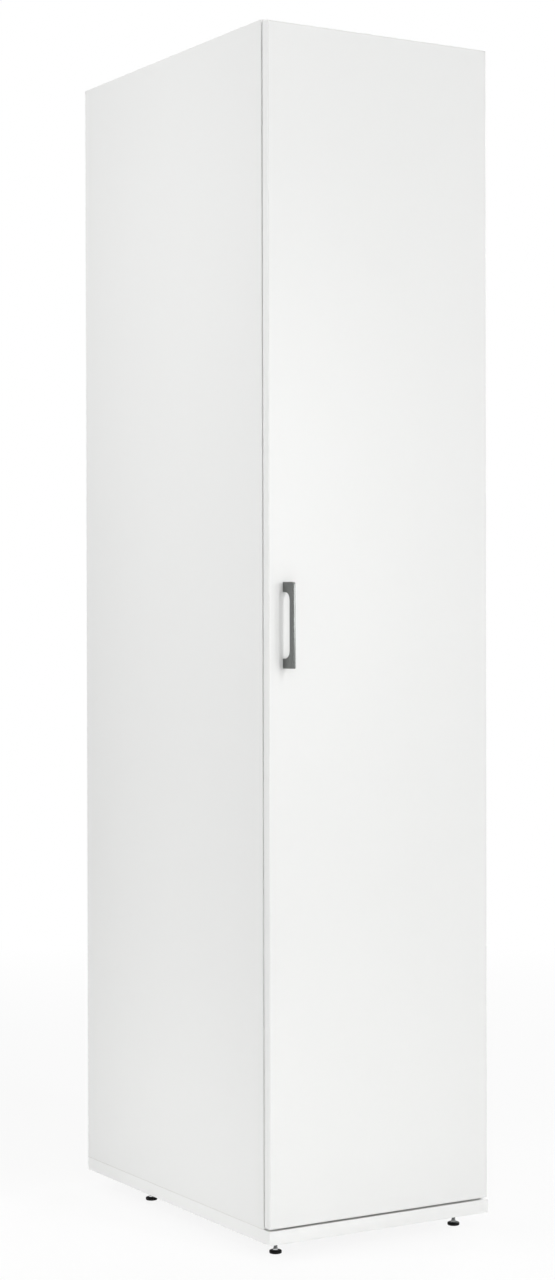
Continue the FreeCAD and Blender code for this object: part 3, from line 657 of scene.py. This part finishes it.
black_moulding = Finish("black_moulding", (0.006, 0.006, 0.0062), roughness=0.5)
black_moulding.shader.inputs["Specular IOR Level"].default_value = 0.12
black_moulding.sheen(scale=700.0, smoothest=0.42, roughest=0.6)
black_moulding.grain(scale=1500.0, depth=0.00002)
moulded_white = Finish("moulded_white", (0.82, 0.82, 0.80), roughness=0.45)
moulded_white.sheen(scale=300.0, smoothest=0.4, roughest=0.5, detail=2.0)
moulded_white.grain(scale=1200.0, depth=0.00001, rounding=edge_break)
dark_zinc = plated("dark_zinc", (0.42, 0.43, 0.43), darker=(0.26, 0.27, 0.27), roughness=0.26,
                   grain_depth=0.000008)
dress(zinc, "leveller_inserts")

cap_lip = 0.0027
cap_dome = [(0.0, 0.3), (0.0005, 0.65), (0.0017, 0.88), (0.004, 0.98)]     # how far in, share of height
floor_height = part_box("base_panel")[1].z
caps = []
for low, high in solids("leveller_caps"):
    cap_radius = (high.x - low.x) / 2
    cap_height = high.z - floor_height
    plug_radius = cap_radius - cap_lip
    plug_end = low.z - floor_height
    cap_profile = [(0.0, plug_end), (plug_radius, plug_end), (plug_radius, 0.0), (cap_radius, 0.0)]
    cap_profile += [(cap_radius - inset, share * cap_height) for inset, share in cap_dome]
    cap_profile.append((0.0, cap_height))
    caps.append(set_at(turned(cap_profile), (halfway(low, high, X), halfway(low, high, Y), floor_height)))
domed_caps = mesh_piece("floor_caps", joined(*caps), "carcass", moulded_white)
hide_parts("leveller_caps")

pad_edge = [                    # how far in, and how high: the edges are rolled above and below
    (0.0009, 0.0), (0.0003, 0.0003), (0.0, 0.0010), (0.0, 0.0035), (0.0003, 0.0041), (0.0010, 0.0045),
    (0.0022, 0.0048),
]
pad_neck = 0.0036
stem_radius = 0.003
stem_thread_depth = 0.00055
stem_thread_pitch = 0.001
stem_chamfer = 0.0002
hexagon_height = 0.0035
hexagon_corner = 0.008 / math.sqrt(3.0)
hexagon_flare = [(1.0, 0.0), (1.0, 0.4), (0.92, 0.62)]      # shares of its corner and of its height
hexagon_shoulder = 0.72
hexagon_crown = 0.66
hexagon_rim = 0.0003
for place in ("front_left", "front_right", "rear_left", "rear_right"):
    pad_low, pad_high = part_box(f"leveller_pad_{place}")
    stem_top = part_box(f"leveller_stem_{place}")[1].z
    foot = (halfway(pad_low, pad_high, X), halfway(pad_low, pad_high, Y), 0.0)
    pad_radius = (pad_high.x - pad_low.x) / 2
    pad_top = pad_high.z
    pad_profile = [(0.0, 0.0)]
    pad_profile += [(pad_radius - inset, height) for inset, height in pad_edge]
    pad_profile += [(pad_radius - pad_neck, pad_top), (stem_radius, pad_top), (0.0, pad_top)]
    pad = mesh_piece(f"foot_pad_{place}", set_at(turned(pad_profile), foot), f"leveller_{place}",
                     black_moulding)
    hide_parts(f"leveller_pad_{place}")

    nut_top = pad_top + hexagon_height
    nut_profile = [(0.0, pad_top)]
    nut_profile += [(reach * hexagon_corner, pad_top + share * hexagon_height)
                    for reach, share in hexagon_flare]
    nut_profile += [(hexagon_shoulder * hexagon_corner, nut_top - hexagon_rim),
                    (hexagon_crown * hexagon_corner, nut_top), (0.0, nut_top)]
    nut = turned(nut_profile, steps=6)
    rod = thread(nut_top - stem_chamfer, stem_top, stem_radius, stem_thread_depth, stem_thread_pitch)
    tip_height = stem_top - stem_chamfer
    tip = turned([(stem_radius - stem_thread_depth, tip_height), (0.0, tip_height)], steps=24)
    stem = mesh_piece(f"foot_stem_{place}", set_at(joined(nut, rod, tip), foot), f"leveller_{place}",
                      dark_zinc)
    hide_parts(f"leveller_stem_{place}")


# ---- Wall bracket ---------------------------------------------------------------------------------
# A small zinc-plated steel angle under the top panel, through which a screw ties the cupboard to a wall.

dress(zinc, "wall_bracket")
cross_screws("wall_bracket_screws", "carcass", down, shank_radius=0.00175, head_height=0.0015)


# ---- Concealed hinges -----------------------------------------------------------------------------
# Nickel-plated steel cups and arms on cast plates. The plates and their arms stay on the side panel, and
# the cups, with their pins, ride on the door.

leftward = (-1.0, 0.0, 0.0)
backward = (0.0, 1.0, 0.0)
dress(cast_zinc, "hinge_plates")
dress(nickel, "hinge_arms", "hinge_cups", "hinge_pins")
cross_screws("hinge_plate_screws", "carcass", leftward, shank_radius=0.0025, head_height=0.0012,
             finish=nickel)
cross_screws("hinge_arm_screws", "carcass", leftward, shank_radius=0.002, head_height=0.0014,
             finish=nickel)
cross_screws("hinge_cup_screws", "door", backward, shank_radius=0.00175, head_height=0.0007,
             finish=nickel)


# ---- Magnetic catch -------------------------------------------------------------------------------
# White moulded housing under the fixed shelf, with a ferrite magnet between two steel plates; a small
# zinc-plated strike on the door meets them.

ferrite = Finish("ferrite", (0.05, 0.05, 0.055), roughness=0.55)
ferrite.grain(scale=1800.0, depth=0.00003, detail=3.0)
dress(ferrite, "catch_magnet")
dress(moulded_white, "catch_housing")
dress(zinc, "catch_pole_plates", "strike_plate")
cross_screws("catch_screws", "carcass", down, shank_radius=0.0015, head_height=0.0012)
cross_screws("strike_screw", "door", backward, shank_radius=0.0015, head_height=0.0012, countersunk=True)


# ---- Door -----------------------------------------------------------------------------------------
# One full-height slab of the same faced board, with strips on all four edges and two clear soft dots on
# its back that meet the side panel.

faced_board("door_panel", Y, strips=[(X, -1), (X, 1), (Z, -1), (Z, 1)])

clear_soft = Finish("clear_dot", (0.80, 0.80, 0.78), roughness=0.35)
clear_soft.shader.inputs["Transmission Weight"].default_value = 0.4
clear_soft.grain(scale=900.0, depth=0.00001, detail=1.0)
dot_dome = [(1.0, 0.0), (1.0, 0.3), (0.92, 0.6), (0.7, 0.86), (0.4, 0.97)]     # shares of its size
dots = []
for low, high in solids("door_bumpers"):
    dot_radius = (high.x - low.x) / 2
    dot_height = high.y - low.y
    dot_profile = [(0.0, 0.0)]
    dot_profile += [(reach * dot_radius, share * dot_height) for reach, share in dot_dome]
    dot_profile.append((0.0, dot_height))
    dot_place = (halfway(low, high, X), low.y, halfway(low, high, Z))
    dots.append(set_at(turned(dot_profile, steps=32), dot_place, backward))
clear_dots = mesh_piece("clear_dots", joined(*dots), "door", clear_soft)
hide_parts("door_bumpers")


# ---- Handle ---------------------------------------------------------------------------------------
# Slim bow of zinc alloy with a dark satin finish, screwed on from inside the door with two machine
# screws.

satin_dark = (0.178, 0.186, 0.181)
satin_pale = (0.202, 0.211, 0.206)
dark_satin = Finish("dark_satin", (0.19, 0.198, 0.193), roughness=0.23, metal=1.0)
satin_cloud = dark_satin.spread(dark_satin.noise(160.0, detail=3.0), 0.0, 1.0, start=0.3, end=0.7)
dark_satin.colour(dark_satin.mix(satin_cloud, satin_dark, satin_pale))
dark_satin.sheen(scale=1300.0, smoothest=0.20, roughest=0.26)
dark_satin.grain(scale=2200.0, depth=0.00001, rounding=edge_break)

handle_low, handle_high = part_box("handle")
foot_width = handle_high.x - handle_low.x
front_width = 0.004
leg_height = 0.015
grip_depth = 0.010
slot_bend = 0.012
low_corner = 0.0015
slope_depth = 0.009             # the top falls away gently towards the front
slope_drop = 0.0022
nose_round = 0.0012
arris = 0.0007
on_door = 0.0001                # edges this close to the door keep no arris

front, behind = handle_low.y, handle_high.y
bottom, top = handle_low.z, handle_high.z
bend_y = front + grip_depth + slot_bend
bow = [(behind, bottom)]
bow += arc((front + low_corner, bottom + low_corner), low_corner, low_corner, 270.0, 180.0, steps=4)
bow += arc((front + nose_round, top - slope_drop - nose_round), nose_round, nose_round, 180.0, 100.0,
           steps=4)
bow += arc((front + slope_depth, top - slope_drop), slope_depth - nose_round, slope_drop, 160.0, 90.0,
           steps=6)
bow += [(behind, top), (behind, top - leg_height)]
bow += arc((bend_y, top - leg_height - slot_bend), slot_bend, slot_bend, 90.0, 180.0, steps=12)
bow += arc((bend_y, bottom + leg_height + slot_bend), slot_bend, slot_bend, 180.0, 270.0, steps=12)
bow.append((behind, bottom + leg_height))

handle_middle = halfway(handle_low, handle_high, X)
bow_shape = bmesh.new()
cheeks = []
for side in (-1, 1):
    corners = []
    for y, z in bow:
        forward = (behind - y) / (behind - front)
        half_width = (foot_width + (front_width - foot_width) * forward) / 2
        corners.append(bow_shape.verts.new((handle_middle + side * half_width, y, z)))
    cheeks.append(corners)
    bow_shape.faces.new(corners)
for step in range(len(bow)):
    after = (step + 1) % len(bow)
    bow_shape.faces.new((cheeks[0][step], cheeks[0][after], cheeks[1][after], cheeks[1][step]))
rim = []
for corners in cheeks:
    for first, second in zip(corners, corners[1:] + corners[:1]):
        if min(first.co.y, second.co.y) < behind - on_door:
            rim.append(bow_shape.edges.get((first, second)))
bmesh.ops.bevel(bow_shape, geom=rim, offset=arris, offset_type="OFFSET", segments=1, affect="EDGES")
handle_bow = mesh_piece("handle_bow", points_and_faces(bow_shape), "door", dark_satin,
                        sharp=30.0)
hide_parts("handle")
cross_screws("handle_screws", "door", backward, shank_radius=0.002, head_height=0.0024)


# ---- Room -----------------------------------------------------------------------------------------
# A plain white room with a pale floor that keeps a soft shadow. Three lamps stand in front on the right
# and one high on the left. Weak upright strips stand close to the door and to the left side, low ones
# light the foot, and two more lamps fill in from behind and above.

floor_half = 30.0
floor_data = bpy.data.meshes.new("floor")
floor_data.from_pydata([(-floor_half, -floor_half, 0), (floor_half, -floor_half, 0),
                        (floor_half, floor_half, 0), (-floor_half, floor_half, 0)], [], [(0, 1, 2, 3)])
floor = bpy.data.objects.new("floor", floor_data)
bpy.context.scene.collection.objects.link(floor)

full_white = (1.0, 1.0, 1.0)
shade_share = 0.12              # how much of the paper's own shade is seen near the cupboard
shade_full = 1.0                # how far it goes on at that strength, and where it is gone
shade_gone = 3.2
paper = Finish("floor_paper", (0.92, 0.92, 0.915), roughness=0.9)
paper.shader.inputs["Specular IOR Level"].default_value = 0.1
distance = paper.node("ShaderNodeVectorMath", operation="LENGTH")
paper.link(paper.at, distance.inputs[0])
own_shade = paper.spread(distance.outputs["Value"], shade_share, 0.0, start=shade_full, end=shade_gone)
floor_ray = paper.node("ShaderNodeLightPath").outputs
mirrored_floor = paper.maths("MAXIMUM", floor_ray["Is Glossy Ray"], floor_ray["Is Transmission Ray"])
floor_seen = paper.maths("MAXIMUM", floor_ray["Is Camera Ray"], mirrored_floor)
glow = paper.node("ShaderNodeEmission")
paper.link(full_white, glow.inputs["Color"])
floor_mix = paper.node("ShaderNodeMixShader")
glow_share = paper.maths("MULTIPLY", floor_seen, paper.maths("SUBTRACT", 1.0, own_shade))
paper.link(glow_share, floor_mix.inputs[0])
paper.link(paper.shader.outputs[0], floor_mix.inputs[1])
paper.link(glow.outputs[0], floor_mix.inputs[2])
paper.link(floor_mix.outputs[0], paper.tree.nodes["Material Output"].inputs["Surface"])
floor_data.materials.append(paper.material)

room_tint = (0.98, 0.99, 1.0)
room_strength = 0.4
dim_direction = (-0.52, -0.855, 0.0)    # what the finishes mirror is darker there, in front on the left
dim_level = 0.25
dim_start = 0.25                # 1 is straight that way and 0 is square to it
dim_end = 0.95
world = bpy.data.worlds.new("white_room")
bpy.context.scene.world = world
world.use_nodes = True
room = Nodes(world.node_tree)
room_ray = room.node("ShaderNodeLightPath").outputs
towards_dim = room.node("ShaderNodeVectorMath", operation="DOT_PRODUCT")
room.link(room.node("ShaderNodeTexCoord").outputs["Generated"], towards_dim.inputs[0])
room.link(dim_direction, towards_dim.inputs[1])
dimming = room.spread(towards_dim.outputs["Value"], 1.0, dim_level, start=dim_start, end=dim_end,
                      curve="SMOOTHSTEP")
plain_white = room.maths("MAXIMUM", room_ray["Is Camera Ray"], room_ray["Is Transmission Ray"])
mirrored_white = room.maths("MAXIMUM", dimming, plain_white)
room_seen = room.maths("MAXIMUM", plain_white, room_ray["Is Glossy Ray"])
room_light = room.tree.nodes["Background"]
room.link(room_tint, room_light.inputs["Color"])
room.link(room_strength, room_light.inputs["Strength"])
room_white = room.node("ShaderNodeBackground")
room.link(full_white, room_white.inputs["Color"])
room.link(mirrored_white, room_white.inputs["Strength"])
room_mix = room.node("ShaderNodeMixShader")
room.link(room_seen, room_mix.inputs[0])
room.link(room_light.outputs[0], room_mix.inputs[1])
room.link(room_white.outputs[0], room_mix.inputs[2])
room.link(room_mix.outputs[0], room.tree.nodes["World Output"].inputs["Surface"])


def lamp(name, place, aim, width, height, power, beam=180.0):
    """A soft rectangular lamp aimed at a point; beam is how wide its light spreads, in degrees."""
    data = bpy.data.lights.new(name, "AREA")
    data.shape = "RECTANGLE"
    data.size = width
    data.size_y = height
    data.energy = power
    data.spread = math.radians(beam)
    made = bpy.data.objects.new(name, data)
    made.visible_camera = False
    made.location = place
    made.rotation_euler = (Vector(aim) - Vector(place)).to_track_quat("-Z", "Y").to_euler()
    bpy.context.scene.collection.objects.link(made)
    return made


lamp("key_lamp", (0.76, -3.6, 1.45), aim=(0.0, -0.2, 1.0), width=0.28, height=1.1, power=18.5)
lamp("key_edge_lamp", (1.66, -3.4, 1.25), aim=(0.0, -0.2, 1.0), width=0.4, height=1.2, power=8.0)
lamp("upper_lamp", (0.6, -3.0, 3.0), aim=(0.0, -0.3, 1.6), width=0.5, height=0.6, power=23.0)
door_strip_lamp = lamp("door_strip_lamp", (-0.59, -1.2, 1.0), aim=(-0.2, -0.3, 1.0), width=0.15,
                       height=1.9, power=2.9)
door_strip_lamp.visible_glossy = False
lamp("door_foot_lamp", (-0.15, -1.0, 0.03), aim=(-0.1, -0.3, 0.03), width=0.6, height=0.05, power=0.55)
lamp("side_strip_lamp", (-0.95, 0.02, 1.02), aim=(-0.2, 0.02, 1.02), width=0.15, height=1.7, power=2.5)
lamp("side_upper_lamp", (-1.7, 0.05, 2.2), aim=(0.0, 0.05, 1.6), width=0.5, height=0.6, power=9.3)
lamp("side_foot_lamp", (-0.85, 0.02, 0.03), aim=(-0.2, 0.02, 0.03), width=0.7, height=0.05, power=0.33,
     beam=110.0)
lamp("rear_lamp", (2.6, 1.9, 1.5), aim=(0.1, 0.1, 1.0), width=1.4, height=1.8, power=9.0, beam=60.0)
lamp("top_lamp", (0.0, 0.02, 3.3), aim=(0.0, 0.02, 1.85), width=0.3, height=0.5, power=0.9, beam=55.0)

camera_place = (-2.0663, -3.4117, 0.9629)
camera_dip = math.radians(0.569)        # below level
camera_lean = math.radians(0.116)
camera_turn = math.radians(-31.055)     # from straight ahead, to the right
camera_data = bpy.data.cameras.new("camera")
camera_data.sensor_fit = "VERTICAL"
camera_data.sensor_height = 24.0        # this and the lens in millimetres
camera_data.lens = 45.97
camera = bpy.data.objects.new("camera", camera_data)
camera.location = camera_place
camera.rotation_euler = (math.radians(90.0) - camera_dip, camera_lean, camera_turn)
bpy.context.scene.collection.objects.link(camera)
bpy.context.scene.camera = camera
bpy.context.scene.view_settings.view_transform = "Standard"
